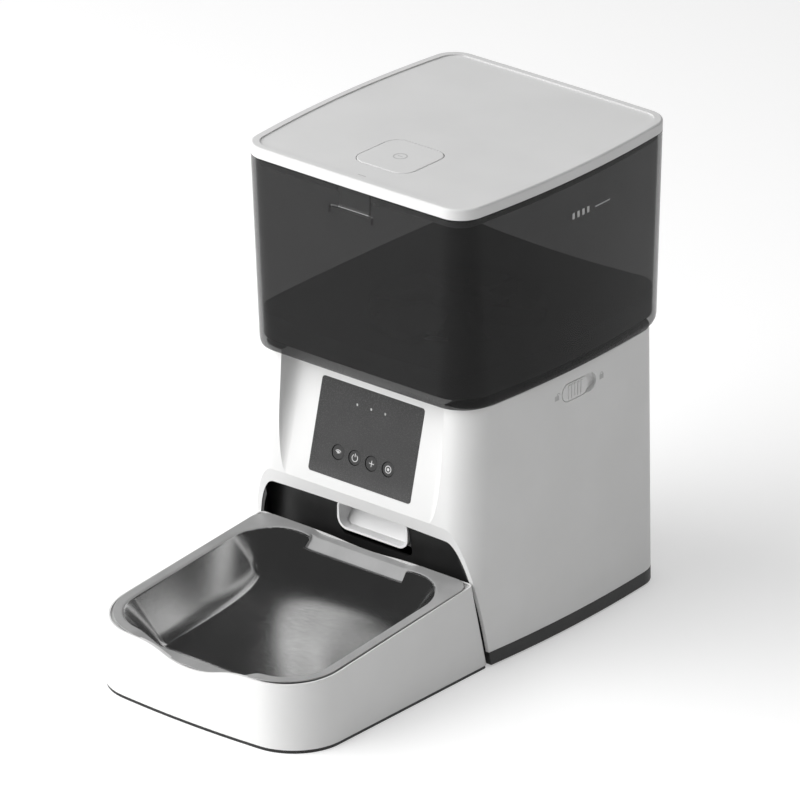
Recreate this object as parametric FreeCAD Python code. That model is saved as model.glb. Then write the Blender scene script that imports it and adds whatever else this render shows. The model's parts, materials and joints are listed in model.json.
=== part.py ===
"""Automatic pet feeder: housing with a geared portion rotor, lift-off food tank, hinged lid, and a bowl tray.

Millimetres, +Z up, +X to the feeder's left-hand side wall with the lock slider, front towards -Y.
The origin is on the floor at the middle of the feeder's outer box.
"""
import FreeCAD, Part
import math
import os

V = FreeCAD.Vector

# ---------------------------------------------------------------- driving dimensions
GAP = 0.4                  # running gap between pieces that move apart
WALL = 2.4                 # moulded wall
SKIN = 2.0                 # thinner moulded wall

# housing
BASE_HALF_X = 96.3         # half width on the floor
TOP_HALF_X = 92.6          # half width under the tank
HOUSING_REAR_Y = 174.0
HOUSING_BULGE = 5.4        # how far the side walls bow outwards
HOUSING_CORNER_R = 21.0
BASE_Z = 1.2               # underside of the base plate
TRIM_TOP_Z = 10.3          # top of the dark band round the base
HOUSING_TOP_Z = 174.6
FRONT_TOP_Y = -12.5        # front of the corner cheeks at the top
FRONT_LEAN = 0.065         # how much the front moves forward per mm going down
DECK_Z = 166.0             # underside of the drive deck
DECK_T = 4.0

BOSSES = [(-80.0, 20.0), (80.0, 20.0), (-80.0, 156.0), (80.0, 156.0)]
BOSS_R = 4.2               # screw posts between the base plate and the deck
PILOT_R = 1.5              # hole for a screw's thread
SCREW_R = 1.45
SCREW_HEAD_R = 2.8
SCREW_HEAD_H = 1.8
FEET = [(-66.0, 22.0), (66.0, 22.0), (-66.0, 158.0), (66.0, 158.0)]
FOOT_R = 6.0

# sloping fascia that carries the control panel
FASCIA_DEG = 13.9
FASCIA_MID_Z = 131.1
FASCIA_MID_Y = -8.4
FASCIA_HALF_X = 65.7
FASCIA_FILLET = 8.0

# outlet bay over the bowl
BAY_TOP_Z = 94.8
BAY_CORNER_R = 30.0
BAY_FOOT_Y = 1.3           # front edge of the side walls, on the floor
BAY_LEAN = 0.2             # and how much it moves forward per mm going up
BAY_DEPTH = 11.8           # liner face behind that edge
LINER_T = 1.4
DOORWAY_HALF_X = 78.0      # the liner is open at the front within this
MOUTH_HALF_X = 29.0
MOUTH_LOW_Z = 61.0
MOUTH_HIGH_Z = 83.0
MOUTH_R = 8.0
SLOT_H = 6.0               # shadow slot under the chute lip
CHUTE_FRONT_Y = 20.0
CHUTE_REAR_Y = 60.0
CHUTE_WALL = 1.6
LIP_REACH = 3.5            # how far the chute lip stands out from the liner
DOCK_X = 52.0              # the two tabs of the tray, each side of the middle
DOCK_HALF = 8.0
DOCK_LOW_Z = 12.0
DOCK_HIGH_Z = 18.0

# control panel, on the fascia
PANEL_W = 82.7
PANEL_H = 61.2
PANEL_T = 1.6
PANEL_R = 2.2
KEY_R = 4.7
KEY_PITCH = 13.5
KEY_DROP = 13.9            # below the panel's middle
LIGHT_R = 0.9
LIGHT_PITCH = 11.3
LIGHT_RISE = 19.2

# tank
TANK_Y = 80.9
TANK_FOOT_Z = 175.2
TANK_CREASE_Z = 181.3
TANK_TOP_Z = 303.7
TANK_WALL = 2.5
ROTOR_Y = 80.9
POCKET_R = 57.0
POCKET_FLOOR_Z = 181.5
FUNNEL_LOW_Z = 192.0
FUNNEL_HIGH_Z = 199.0
ROTOR_H = 13.0
WIPER_Z = POCKET_FLOOR_Z + ROTOR_H + 0.8

# lid
LID_HALF_X = 95.0
LID_HALF_Y = 102.7
LID_Y = 79.3
LID_LOW_Z = 304.2
LID_TOP_Z = 311.3
LID_RIM_W = 5.0
LID_RECESS = 0.9
PUSH_Y = 24.3
PUSH_HALF = 22.0
PUSH_R = 10.0
SPRING_HALF = 13.0
SPRING_W = 7.0
SPRING_T = 0.4
HINGE_Y = 181.4
HINGE_Z = 302.8
HINGE_R = 0.6
HINGE_X = 48.0
LATCH_Z = 289.0
LATCH_HALF_X = 17.0
SKIRT_LOW_Z = 297.0
SKIRT_INSET = TANK_WALL + 2.6
DRY_X = 0.0                # desiccant cup
DRY_Y = 118.0
DRY_R = 31.0

# bowl tray
TRAY_X = 3.0               # the tray stands this far to the right of the middle
TRAY_HALF_X = 89.5
TRAY_FRONT_Y = -182.0
TRAY_FRONT_BULGE = 4.4
TRAY_CROWN = 1.6
TRAY_FRONT_BOW_R = 720.0
TRAY_FRONT_R = 36.7
TRAY_REAR_R = 4.0
TRAY_FOOT_H = 2.4
TRAY_GAP = 1.2             # between the tray and the housing
TRAY_FRONT_DRAFT = 2.2     # how far each wall leans in from the floor to the rim
TRAY_SIDE_DRAFT = 2.4
TRAY_PINCH = 0.6           # further narrowing towards the rear, at the rim
RIM_REAR_Z = 59.5
RIM_DEG = 5.0
FRONT_DIP = 7.0
FRONT_DIP_HALF_X = 43.0
REAR_DIP = 2.0
REAR_DIP_HALF_X = 40.0
BOWL_T = 1.0
FLANGE_W = 6.5
BOWL_DEPTH = 30.0
TONGUE_HALF_X = 37.5
TONGUE_REACH = 15.6
BASIN_REAR = -12.5         # basin outline, measured along the rim plane from its rear edge
BASIN_FRONT = -158.5
BASIN_HALF_X = 78.7
BASIN_REAR_R = 30.0
BASIN_FRONT_R = 30.0
BASIN_SCOOP = 30.0         # how far the walls come in on the way down

# drive
GEAR_MODULE = 0.8
GEAR_TEETH = 44
PINION_TEETH = 12
GEAR_Z = 151.0
GEAR_H = 6.0
SHAFT_R = 4.0
DOG_TOP_Z = 186.0          # top of the square dog that turns the rotor
MOTOR_X = GEAR_MODULE * (GEAR_TEETH + PINION_TEETH) / 2
MOTOR_R = 13.8
MOTOR_L = 37.0

# batteries: three D cells lying side by side
CELL_R = 16.6
CELL_L = 60.5
CELL_PITCH = 34.6
CELL_Z = 22.6
BATTERY_Y = 132.0
DOOR_T = 2.2
DOOR_HALF_Y = 33.0

# electronics
JACK_X = -66.0
JACK_Z = 34.0
JACK_R = 4.6
SPEAKER_X = -52.0
SPEAKER_Y = 60.0
SPEAKER_R = 18.0
BOARD_X = -85.5
BOARD_T = 1.6

# lock slider on the +X side
LOCK_Y = 86.2
LOCK_Z = 160.7
LOCK_SLOT_L = 34.0
LOCK_SLOT_H = 12.4
LOCK_KNOB_L = 25.0


# ---------------------------------------------------------------- drawing helpers
def box(x0, y0, z0, x1, y1, z1):
    return Part.makeBox(x1 - x0, y1 - y0, z1 - z0, V(x0, y0, z0))


def rod(x, y, z, r, h, axis=V(0, 0, 1)):
    return Part.makeCylinder(r, h, V(x, y, z), axis)


def pad(wire, travel):
    return Part.Face(wire).extrude(travel)


def polygon(points):
    return Part.makePolygon(list(points) + [points[0]])


def rounded_polygon(points, radii):
    """A closed wire through the points, each corner rounded with its own radius."""
    count = len(points)
    starts = []
    ends = []
    arcs = []
    for i, (corner, r) in enumerate(zip(points, radii)):
        back = (points[i - 1] - corner).normalize()
        ahead = (points[(i + 1) % count] - corner).normalize()
        half = math.acos(max(-1.0, min(1.0, back.dot(ahead)))) / 2
        reach = r / math.tan(half)
        middle = (back + ahead).normalize()
        starts.append(corner + back * reach)
        ends.append(corner + ahead * reach)
        arcs.append(corner + middle * (r / math.sin(half) - r))
    edges = []
    for i in range(count):
        edges.append(Part.Arc(starts[i], arcs[i], ends[i]).toShape())
        following = starts[(i + 1) % count]
        if (following - ends[i]).Length > 1e-6:
            edges.append(Part.LineSegment(ends[i], following).toShape())
    return Part.Wire(edges)


def round_rect(x0, y0, x1, y1, r, z):
    corners = [V(x0, y0, z), V(x1, y0, z), V(x1, y1, z), V(x0, y1, z)]
    return rounded_polygon(corners, [r] * 4)


def round_block(x0, y0, z0, x1, y1, z1, r):
    return pad(round_rect(x0, y0, x1, y1, r, z0), V(0, 0, z1 - z0))


def bowed(hx, hy, sx, sy, r, cy, z):
    """Rectangle with bowed sides: half sizes at mid-side, the bow of each side, and tangent corner arcs."""
    big_x = ((hy - sy) ** 2 + sx ** 2) / (2 * sx)
    big_y = ((hx - sx) ** 2 + sy ** 2) / (2 * sy)
    ax = hx - big_x
    by = hy - big_y
    ra = big_x - r
    rb = big_y - r
    span = math.hypot(ax, by)
    along = (ra ** 2 - rb ** 2 + span ** 2) / (2 * span)
    across = math.sqrt(ra ** 2 - along ** 2)
    ux, uy = -ax / span, by / span
    kx = ax + along * ux - across * uy
    ky = along * uy + across * ux
    if kx < 0 or ky < 0:
        kx = ax + along * ux + across * uy
        ky = along * uy - across * ux
    side = V(ax, 0, 0) + (V(kx, ky, 0) - V(ax, 0, 0)) * (big_x / ra)
    end = V(0, by, 0) + (V(kx, ky, 0) - V(0, by, 0)) * (big_y / rb)
    centre = V(kx, ky, 0)
    mid = centre + ((side - centre).normalize() + (end - centre).normalize()).normalize() * r

    def at(p, mx, my):
        return V(p.x * mx, p.y * my + cy, z)

    edges = [
        Part.Arc(at(side, 1, -1), V(hx, cy, z), at(side, 1, 1)),
        Part.Arc(at(side, 1, 1), at(mid, 1, 1), at(end, 1, 1)),
        Part.Arc(at(end, 1, 1), V(0, hy + cy, z), at(end, -1, 1)),
        Part.Arc(at(end, -1, 1), at(mid, -1, 1), at(side, -1, 1)),
        Part.Arc(at(side, -1, 1), V(-hx, cy, z), at(side, -1, -1)),
        Part.Arc(at(side, -1, -1), at(mid, -1, -1), at(end, -1, -1)),
        Part.Arc(at(end, -1, -1), V(0, cy - hy, z), at(end, 1, -1)),
        Part.Arc(at(end, 1, -1), at(mid, 1, -1), at(side, 1, -1)),
    ]
    return Part.Wire([e.toShape() for e in edges])


def loft(*wires):
    return Part.makeLoft(list(wires), True, True)


def blend(low, high, t):
    return low + (high - low) * t


def fuse(*shapes):
    whole = shapes[0].multiFuse(list(shapes[1:]))
    return whole.removeSplitter()


def mirror_x(shape):
    return shape.mirror(V(0, 0, 0), V(1, 0, 0))


def on_fascia(shape):
    """Places a shape drawn upright on y = 0, facing -Y, with its middle at the origin, on the fascia."""
    placed = shape.copy()
    turn = FreeCAD.Rotation(V(1, 0, 0), -FASCIA_DEG)
    placed.Placement = FreeCAD.Placement(V(0, FASCIA_MID_Y, FASCIA_MID_Z), turn).multiply(placed.Placement)
    return placed


def on_rim(shape):
    """Places a shape drawn with the tray's rim plane as z = 0, and its rear edge at y = 0."""
    placed = shape.copy()
    turn = FreeCAD.Rotation(V(1, 0, 0), RIM_DEG)
    rear = bay_edge_y(RIM_REAR_Z) - TRAY_GAP
    placed.Placement = FreeCAD.Placement(V(0, rear, RIM_REAR_Z), turn).multiply(placed.Placement)
    return placed


def bay_edge_y(z):
    return BAY_FOOT_Y - BAY_LEAN * z


def bay_halfspace(offset):
    """Everything in front of the bay's sloping edge, moved back by the offset."""
    low, high = -20.0, 130.0
    profile = polygon([
        V(-150, -120, low),
        V(-150, bay_edge_y(low) + offset, low),
        V(-150, bay_edge_y(high) + offset, high),
        V(-150, -120, high),
    ])
    return pad(profile, V(300, 0, 0))


def gear(teeth, bore_r, z, height, half_step=False):
    """Involute spur gear with a little backlash."""
    pressure = math.radians(20)
    pitch_r = GEAR_MODULE * teeth / 2
    base_r = pitch_r * math.cos(pressure)
    tip_r = pitch_r + 0.9 * GEAR_MODULE
    root_r = pitch_r - 1.25 * GEAR_MODULE
    play = 0.94

    def half_angle(r):
        slant = math.acos(min(1.0, base_r / r))
        return math.pi / (2 * teeth) * play + (math.tan(pressure) - pressure) - (math.tan(slant) - slant)

    steps = 4
    start_r = max(base_r, root_r)
    radii = [blend(start_r, tip_r, i / steps) for i in range(steps + 1)]
    points = []
    for tooth in range(teeth):
        turn = 2 * math.pi * (tooth + (0.5 if half_step else 0.0)) / teeth
        flank = [(r, half_angle(r)) for r in radii]
        profile = [(root_r, -half_angle(start_r))] + [(r, -a) for r, a in flank]
        profile += [(r, a) for r, a in reversed(flank)] + [(root_r, half_angle(start_r))]
        for r, a in profile:
            point = V(r * math.cos(turn + a), r * math.sin(turn + a), z)
            if not points or (point - points[-1]).Length > 1e-4:
                points.append(point)
    blank = pad(polygon(points), V(0, 0, height))
    return blank.cut(rod(0, 0, z - 1, bore_r, height + 2))


def moved(shape, x, y, z):
    placed = shape.copy()
    placed.translate(V(x, y, z))
    return placed


def screw(x, y, z, up, length):
    """Pan-head screw with a cross recess: head at z, shank running up or down."""
    way = 1 if up else -1
    head = rod(x, y, z, SCREW_HEAD_R, SCREW_HEAD_H, V(0, 0, -way))
    shank = rod(x, y, z, SCREW_R, length, V(0, 0, way))
    body = head.fuse(shank)
    deep = SCREW_HEAD_H / 2
    for turn in (0, 90):
        blade = box(-SCREW_HEAD_H, -0.35, -deep, SCREW_HEAD_H, 0.35, deep)
        blade.rotate(V(0, 0, 0), V(0, 0, 1), turn)
        blade.translate(V(x, y, z - way * SCREW_HEAD_H))
        body = body.cut(blade)
    return body


# ---------------------------------------------------------------- housing
def housing_section(z, inset=0.0):
    t = z / HOUSING_TOP_Z
    front = FRONT_TOP_Y - FRONT_LEAN * (HOUSING_TOP_Z - z) + inset
    rear = HOUSING_REAR_Y - inset
    half = blend(BASE_HALF_X, TOP_HALF_X, t) - inset
    r = HOUSING_CORNER_R - inset
    return bowed(half, (rear - front) / 2, HOUSING_BULGE, 0.5, r, (rear + front) / 2, z)


def fascia_tool(extra):
    """The wedge that sinks the fascia between the two corner cheeks."""
    half = FASCIA_HALF_X + extra
    r = FASCIA_FILLET + extra
    corners = [V(-half, -60, -90), V(half, -60, -90), V(half, extra, -90), V(-half, extra, -90)]
    return on_fascia(pad(rounded_polygon(corners, [1.0, 1.0, r, r]), V(0, 0, 160)))


def bay_shape(inset):
    """The outlet bay seen from the front: full width low down, with round upper corners."""
    half = BASE_HALF_X - inset
    top = BAY_TOP_Z - inset
    low = -20.0
    corners = [V(-half, -100, low), V(half, -100, low), V(half, -100, top), V(-half, -100, top)]
    r = BAY_CORNER_R - inset
    return pad(rounded_polygon(corners, [0.5, 0.5, r, r]), V(0, 200, 0))


def bay_pocket(inset, back):
    """The bay's hollow inside the housing walls, down to a sloping face that lies back by that much."""
    inside = loft(housing_section(0.5, inset), housing_section(BAY_TOP_Z + 20, inset))
    return inside.common(bay_shape(inset)).common(bay_halfspace(back))


def housing_half_x(z):
    return blend(BASE_HALF_X, TOP_HALF_X, z / HOUSING_TOP_Z)


def lock_recess(depth, margin):
    """Stadium recess for the lock slider, cut in from the +X side."""
    half = LOCK_SLOT_L / 2 + margin
    r = LOCK_SLOT_H / 2 + margin
    x = housing_half_x(LOCK_Z) - depth
    corners = [
        V(x, LOCK_Y - half, LOCK_Z - r),
        V(x, LOCK_Y + half, LOCK_Z - r),
        V(x, LOCK_Y + half, LOCK_Z + r),
        V(x, LOCK_Y - half, LOCK_Z + r),
    ]
    return pad(rounded_polygon(corners, [r - 0.01] * 4), V(20, 0, 0))


def body_shell():
    shell = loft(housing_section(TRIM_TOP_Z), housing_section(HOUSING_TOP_Z))
    shell = shell.cut(fascia_tool(0.0))
    shell = shell.cut(bay_halfspace(0.0).common(bay_shape(0.0)))
    hollow = loft(housing_section(TRIM_TOP_Z - 1, WALL), housing_section(HOUSING_TOP_Z + 1, WALL))
    hollow = hollow.cut(fascia_tool(WALL))
    cup = lock_recess(3.0 + SKIN, SKIN)
    hollow = hollow.cut(cup)
    shell = shell.cut(hollow)
    shell = shell.cut(bay_pocket(WALL, BAY_DEPTH + SKIN + 0.2))
    panel_seat = round_panel(PANEL_W + 0.3, PANEL_H + 0.3, PANEL_R, -0.3, PANEL_T - 0.1)
    shell = shell.cut(on_fascia(panel_seat))
    window = round_panel(PANEL_W - 6, PANEL_H - 6, PANEL_R, 0, 12)
    shell = shell.cut(on_fascia(window))
    shell = shell.cut(lock_recess(3.0, 0.0))
    slit = round_yz(LOCK_Y - 11, LOCK_Y + 11, LOCK_Z - 2.0, LOCK_Z + 2.0, 1.9, 70, 40)
    shell = shell.cut(slit)
    shell = shell.cut(rod(JACK_X, 160, JACK_Z, JACK_R + 0.05, 30, V(0, 1, 0)))
    posts = []
    for x, y in BOSSES:
        post = rod(x, y, TRIM_TOP_Z, BOSS_R, DECK_Z - TRIM_TOP_Z)
        rib = box(min(x, math.copysign(91, x)), y - 1, 20, max(x, math.copysign(91, x)), y + 1, 150)
        rib = rib.common(loft(housing_section(15, 0.6), housing_section(160, 0.6)))
        posts.append(fuse(post, rib))
    shell = shell.multiFuse(posts)
    for x, y in BOSSES:
        shell = shell.cut(rod(x, y, TRIM_TOP_Z - 1, PILOT_R, 14))
        shell = shell.cut(rod(x, y, DECK_Z - 12, PILOT_R, 14))
    return shell.removeSplitter()


def round_panel(width, height, r, y0, y1):
    """Rounded plate standing on y, for the fascia."""
    w, h = width / 2, height / 2
    corners = [V(-w, y0, -h), V(w, y0, -h), V(w, y0, h), V(-w, y0, h)]
    return pad(rounded_polygon(corners, [r] * 4), V(0, y1 - y0, 0))


def round_yz(y0, y1, z0, z1, r, x, length):
    corners = [V(x, y0, z0), V(x, y1, z0), V(x, y1, z1), V(x, y0, z1)]
    return pad(rounded_polygon(corners, [r] * 4), V(length, 0, 0))


def base_plate():
    plate = loft(housing_section(BASE_Z), housing_section(TRIM_TOP_Z - 0.3))
    plate = plate.cut(loft(housing_section(BASE_Z + 2.6, WALL), housing_section(TRIM_TOP_Z + 1, WALL)))
    plate = plate.cut(bay_halfspace(0.0))
    dam = bay_halfspace(WALL).cut(bay_halfspace(0.0))
    dam = dam.common(loft(housing_section(BASE_Z), housing_section(TRIM_TOP_Z - 0.3)))
    plate = plate.fuse(dam)
    half = 1.5 * CELL_PITCH
    plate = plate.cut(box(-half, BATTERY_Y - DOOR_HALF_Y, 0, half, BATTERY_Y + DOOR_HALF_Y, 12))
    for x, y in BOSSES:
        plate = plate.fuse(rod(x, y, BASE_Z + 2, BOSS_R, TRIM_TOP_Z - BASE_Z - 2.1))
        plate = plate.cut(rod(x, y, 0, 1.6, 14))
        plate = plate.cut(rod(x, y, 0, 3.2, BASE_Z + 2.2))
    for ring, count in ((0, 1), (5, 6), (10, 12)):
        for k in range(count):
            turn = 2 * math.pi * k / count
            x = SPEAKER_X + ring * math.cos(turn)
            y = SPEAKER_Y + ring * math.sin(turn)
            plate = plate.cut(rod(x, y, 0, 1.1, 6))
    for x, y in FEET:
        plate = plate.cut(rod(x, y, 0, FOOT_R + 0.2, BASE_Z + 1.0))
    return plate.removeSplitter()


def rubber_feet():
    feet = []
    for x, y in FEET:
        foot = rod(x, y, 0, FOOT_R, BASE_Z + 1.0)
        sole = [e for e in foot.Edges if e.BoundBox.ZMax < 0.01]
        feet.append(foot.makeFillet(0.6, sole))
    return Part.makeCompound(feet)


def base_screws():
    return Part.makeCompound([screw(x, y, BASE_Z + 2.2, True, 15) for x, y in BOSSES])


def front_liner():
    """Dark pan behind the outlet bay, with the chute mouth and the two tray sockets."""
    rim = WALL + 0.2
    pan = bay_pocket(rim, BAY_DEPTH + SKIN).cut(bay_pocket(rim + LINER_T, BAY_DEPTH))
    pan = pan.cut(bay_halfspace(0.4)).common(box(-120, -120, TRIM_TOP_Z, 120, 60, BAY_TOP_Z))
    doorway = bay_shape(rim + LINER_T).common(box(-DOORWAY_HALF_X, -60, 0, DOORWAY_HALF_X, -8, BAY_TOP_Z))
    pan = pan.cut(doorway)
    low_z = MOUTH_LOW_Z - SLOT_H
    pan = pan.cut(mouth_block(low_z, MOUTH_HIGH_Z, 0.0, MOUTH_R - 3))
    reach = DOCK_HALF + 0.6
    for x in (TRAY_X - DOCK_X, TRAY_X + DOCK_X):
        pan = pan.cut(box(x - reach, -10, DOCK_LOW_Z - 0.5, x + reach, 30, DOCK_HIGH_Z + 0.5))
    return pan.removeSplitter()


def chute_profile(inset):
    """Side profile of the duct: down behind the front wall, then out through the liner to the lip."""
    sill_y = bay_edge_y(MOUTH_LOW_Z) + BAY_DEPTH
    head_y = bay_edge_y(MOUTH_HIGH_Z) + BAY_DEPTH
    head_z = MOUTH_HIGH_Z - 0.4 - inset
    sill_z = MOUTH_LOW_Z + 0.1 + inset
    over = 10.0 if inset else 0.0
    return [
        V(0, CHUTE_REAR_Y - inset, DECK_Z - 0.4 + over),
        V(0, CHUTE_FRONT_Y + inset, DECK_Z - 0.4 + over),
        V(0, CHUTE_FRONT_Y + inset, 124 - inset),
        V(0, head_y + SKIN + 0.8 + inset, head_z),
        V(0, head_y + 0.2 - over, head_z),
        V(0, sill_y - LIP_REACH - over, sill_z),
        V(0, sill_y + 3, sill_z),
        V(0, CHUTE_REAR_Y - inset, 138 + inset),
    ]


def mouth_block(low_z, high_z, inset, r_low):
    """Round-cornered block through the chute's mouth, from front to back."""
    half = MOUTH_HALF_X - inset
    r = MOUTH_R - inset
    corners = [V(-half, -60, low_z), V(half, -60, low_z), V(half, -60, high_z), V(-half, -60, high_z)]
    return pad(rounded_polygon(corners, [r_low, r_low, r, r]), V(0, 120, 0))


def duct_body(inset):
    """The duct's outside, or its hollow when inset: square at the back and round-cornered at the mouth."""
    side = 0.4 + inset
    half = MOUTH_HALF_X - side
    profile = [V(-half, p.y, p.z) for p in chute_profile(inset)]
    whole = pad(polygon(profile), V(2 * half, 0, 0))
    low_z = MOUTH_LOW_Z + 0.1 + inset
    mouth = mouth_block(low_z, MOUTH_HIGH_Z - side, side, MOUTH_R - side)
    behind_y = bay_edge_y(MOUTH_LOW_Z) + BAY_DEPTH + SKIN + 0.8
    rear = whole.common(box(-60, behind_y, 0, 60, 120, 300))
    front = whole.common(box(-60, -60, 0, 60, behind_y + 0.01, 300)).common(mouth)
    return rear.fuse(front)


def food_chute():
    """Steep duct from under the rotor to the mouth over the bowl, open at both ends."""
    return duct_body(0.0).cut(duct_body(CHUTE_WALL)).removeSplitter()


def portion_sensor():
    """Optical sensor that sees kibble fall: one eye on each side of the chute."""
    left = round_yz(36, 48, 126, 134, 1.0, -(MOUTH_HALF_X + 5.2), 5.2)
    return Part.makeCompound([left, mirror_x(left)])


# ---------------------------------------------------------------- control panel
def control_panel():
    plate = round_panel(PANEL_W, PANEL_H, PANEL_R, -0.15, PANEL_T - 0.2)
    for x in key_places():
        plate = plate.cut(rod(x, -2, -KEY_DROP, KEY_R + 0.25, 6, V(0, 1, 0)))
    for i in (-1, 0, 1):
        plate = plate.cut(rod(i * LIGHT_PITCH, -2, LIGHT_RISE, LIGHT_R + 0.05, 6, V(0, 1, 0)))
    return on_fascia(plate)


def key_places():
    return [(i - 1.5) * KEY_PITCH for i in range(4)]


def control_key(x):
    """Round key with a retaining collar behind the panel."""
    cap = rod(x, 0.25, -KEY_DROP, KEY_R, 2.0, V(0, 1, 0))
    rim = [e for e in cap.Edges if e.BoundBox.YMax < 0.3]
    cap = cap.makeFillet(0.35, rim)
    collar = rod(x, 2.2, -KEY_DROP, KEY_R + 0.9, 0.8, V(0, 1, 0))
    stem = rod(x, 2.9, -KEY_DROP, 1.6, 1.6, V(0, 1, 0))
    return on_fascia(fuse(cap, collar, stem))


def light_pipes():
    pins = []
    for i in (-1, 0, 1):
        pins.append(on_fascia(rod(i * LIGHT_PITCH, 0.25, LIGHT_RISE, LIGHT_R, 5.0, V(0, 1, 0))))
    return Part.makeCompound(pins)


def panel_board():
    board = round_panel(PANEL_W - 10, PANEL_H - 10, 1.5, 6.4, 8.0)
    switches = [round_panel(6, 6, 0.5, 0, 0.9) for _ in key_places()]
    for x, switch in zip(key_places(), switches):
        board = board.fuse(moved(switch, x, 5.5, -KEY_DROP))
    return on_fascia(board)


def microphone():
    can = rod(24.0, 3.6, LIGHT_RISE, 3.0, 2.7, V(0, 1, 0))
    return on_fascia(can)


# ---------------------------------------------------------------- drive
def drive_deck():
    """Plate that closes the housing and carries the gearbox, with the food hole and the shaft hole."""
    outline_low = housing_section(DECK_Z, WALL + 0.3)
    outline_high = housing_section(DECK_Z + DECK_T, WALL + 0.3)
    deck = loft(outline_low, outline_high).cut(fascia_tool(WALL + 0.3))
    deck = deck.cut(box(TOP_HALF_X - 12, LOCK_Y - 20, DECK_Z - 1, 120, LOCK_Y + 20, DECK_Z + DECK_T + 1))
    hole = round_block(-26, CHUTE_FRONT_Y + 3, DECK_Z - 1, 26, CHUTE_REAR_Y - 2, DECK_Z + DECK_T + 1, 6)
    deck = deck.cut(hole)
    deck = deck.cut(rod(0, ROTOR_Y, DECK_Z - 1, 6.0, DECK_T + 2))
    for x, y in BOSSES:
        deck = deck.cut(rod(x, y, DECK_Z - 1, 1.6, DECK_T + 2))
        deck = deck.cut(rod(x, y, DECK_Z + 2.4, 3.2, DECK_T))
    return deck.removeSplitter()


def deck_screws():
    return Part.makeCompound([screw(x, y, DECK_Z + 2.4, False, 12) for x, y in BOSSES])


def gearbox_case():
    """Case hung under the deck: a floor that carries the motor, and walls round the two gears."""
    low, high = GEAR_Z - 5, DECK_Z
    front = CHUTE_REAR_Y + 0.6
    x0, x1 = -22.0, MOTOR_X + 17
    case = round_block(x0, front, low, x1, ROTOR_Y + 24, high, 1.2)
    case = case.cut(round_block(x0 + 1.4, front + 1.2, low + 2.4, x1 - 1.4, ROTOR_Y + 22, high + 1, 0.8))
    case = case.cut(rod(0, ROTOR_Y, low - 1, SHAFT_R + 0.05, 6))
    case = case.cut(rod(MOTOR_X, ROTOR_Y, low - 1, 2.6, 6))
    return case.removeSplitter()


def motor():
    top = GEAR_Z - 5
    can = rod(MOTOR_X, ROTOR_Y, top - MOTOR_L, MOTOR_R, MOTOR_L)
    can = can.makeFillet(1.5, [e for e in can.Edges if e.BoundBox.ZMax < top - MOTOR_L + 0.1])
    nose = rod(MOTOR_X, ROTOR_Y, top - 0.1, 2.5, 2.1)
    tail = rod(MOTOR_X, ROTOR_Y, top - MOTOR_L - 3, 4.0, 3.2)
    return fuse(can, nose, tail)


def motor_pinion():
    wheel = gear(PINION_TEETH, 0.9, GEAR_Z, GEAR_H)
    hub = rod(0, 0, GEAR_Z - 2.4, 2.2, 2.5)
    return moved(fuse(wheel, hub.cut(rod(0, 0, GEAR_Z - 3, 0.9, 4))), MOTOR_X, ROTOR_Y, 0)


def motor_shaft():
    return rod(MOTOR_X, ROTOR_Y, GEAR_Z - 2.8, 0.9, GEAR_H + 3.6)


def drive_gear():
    wheel = gear(GEAR_TEETH, SHAFT_R, GEAR_Z, GEAR_H, half_step=True)
    web = rod(0, 0, GEAR_Z + 4, 14.0, 3).cut(rod(0, 0, GEAR_Z + 3, 8, 5))
    return moved(wheel.cut(web), 0, ROTOR_Y, 0)


def drive_shaft():
    """Shaft from the gear up to a square dog that the rotor drops onto."""
    stub = rod(0, 0, GEAR_Z - 5, SHAFT_R, DECK_Z - GEAR_Z + 9)
    dog = box(-3.8, -3.8, DECK_Z + DECK_T - 0.1, 3.8, 3.8, DOG_TOP_Z)
    dog = dog.common(rod(0, 0, DECK_Z, 5.0, 30))
    collar = rod(0, 0, GEAR_Z + GEAR_H, 6.8, 1.6)
    return moved(fuse(stub, collar, dog), 0, ROTOR_Y, 0)


def sealing_washer():
    """Rubber ring round the shaft, in the deck's shaft hole."""
    outside = rod(0, ROTOR_Y, DECK_Z + 0.5, 5.95, 3.0)
    return outside.cut(rod(0, ROTOR_Y, DECK_Z, SHAFT_R + 0.05, 5))


# ---------------------------------------------------------------- power and electronics
def battery_box():
    half = 1.5 * CELL_PITCH + SKIN
    x0, x1 = -half, half
    y0, y1 = BATTERY_Y - 35, BATTERY_Y + 35
    case = round_block(x0, y0, BASE_Z + 2.7, x1, y1, CELL_Z + CELL_R + 0.5 + SKIN, 3)
    inner = box(x0 + SKIN, y0 + SKIN, 0, x1 - SKIN, y1 - SKIN, CELL_Z + CELL_R + 0.5)
    return case.cut(inner).removeSplitter()


def cells():
    bodies = []
    for i in (-1, 0, 1):
        can = rod(i * CELL_PITCH, BATTERY_Y - CELL_L / 2, CELL_Z, CELL_R, CELL_L - 1.5, V(0, 1, 0))
        ends = [e for e in can.Edges if e.BoundBox.YLength < 0.1]
        can = can.makeFillet(0.8, ends)
        cap = rod(i * CELL_PITCH, BATTERY_Y + CELL_L / 2 - 1.6, CELL_Z, 4.7, 1.6, V(0, 1, 0))
        turned = fuse(can, cap)
        if i == 0:
            turned = turned.mirror(V(0, BATTERY_Y, 0), V(0, 1, 0))
        bodies.append(turned)
    return Part.makeCompound(bodies)


def battery_contacts():
    plates = []
    for i in (-1, 0, 1):
        for side in (-1, 1):
            face_y = BATTERY_Y + side * DOOR_HALF_Y
            near_y = BATTERY_Y + side * (CELL_L / 2 + 0.1)
            sheet_y = face_y - side * 0.5
            plate = box(-8, min(face_y, sheet_y), CELL_Z - 8, 8, max(face_y, sheet_y), CELL_Z + 8)
            bump = rod(0, min(near_y, face_y), CELL_Z, 3.0, abs(face_y - near_y), V(0, 1, 0))
            plates.append(moved(fuse(plate, bump), i * CELL_PITCH, 0, 0))
    return Part.makeCompound(plates)


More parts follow.
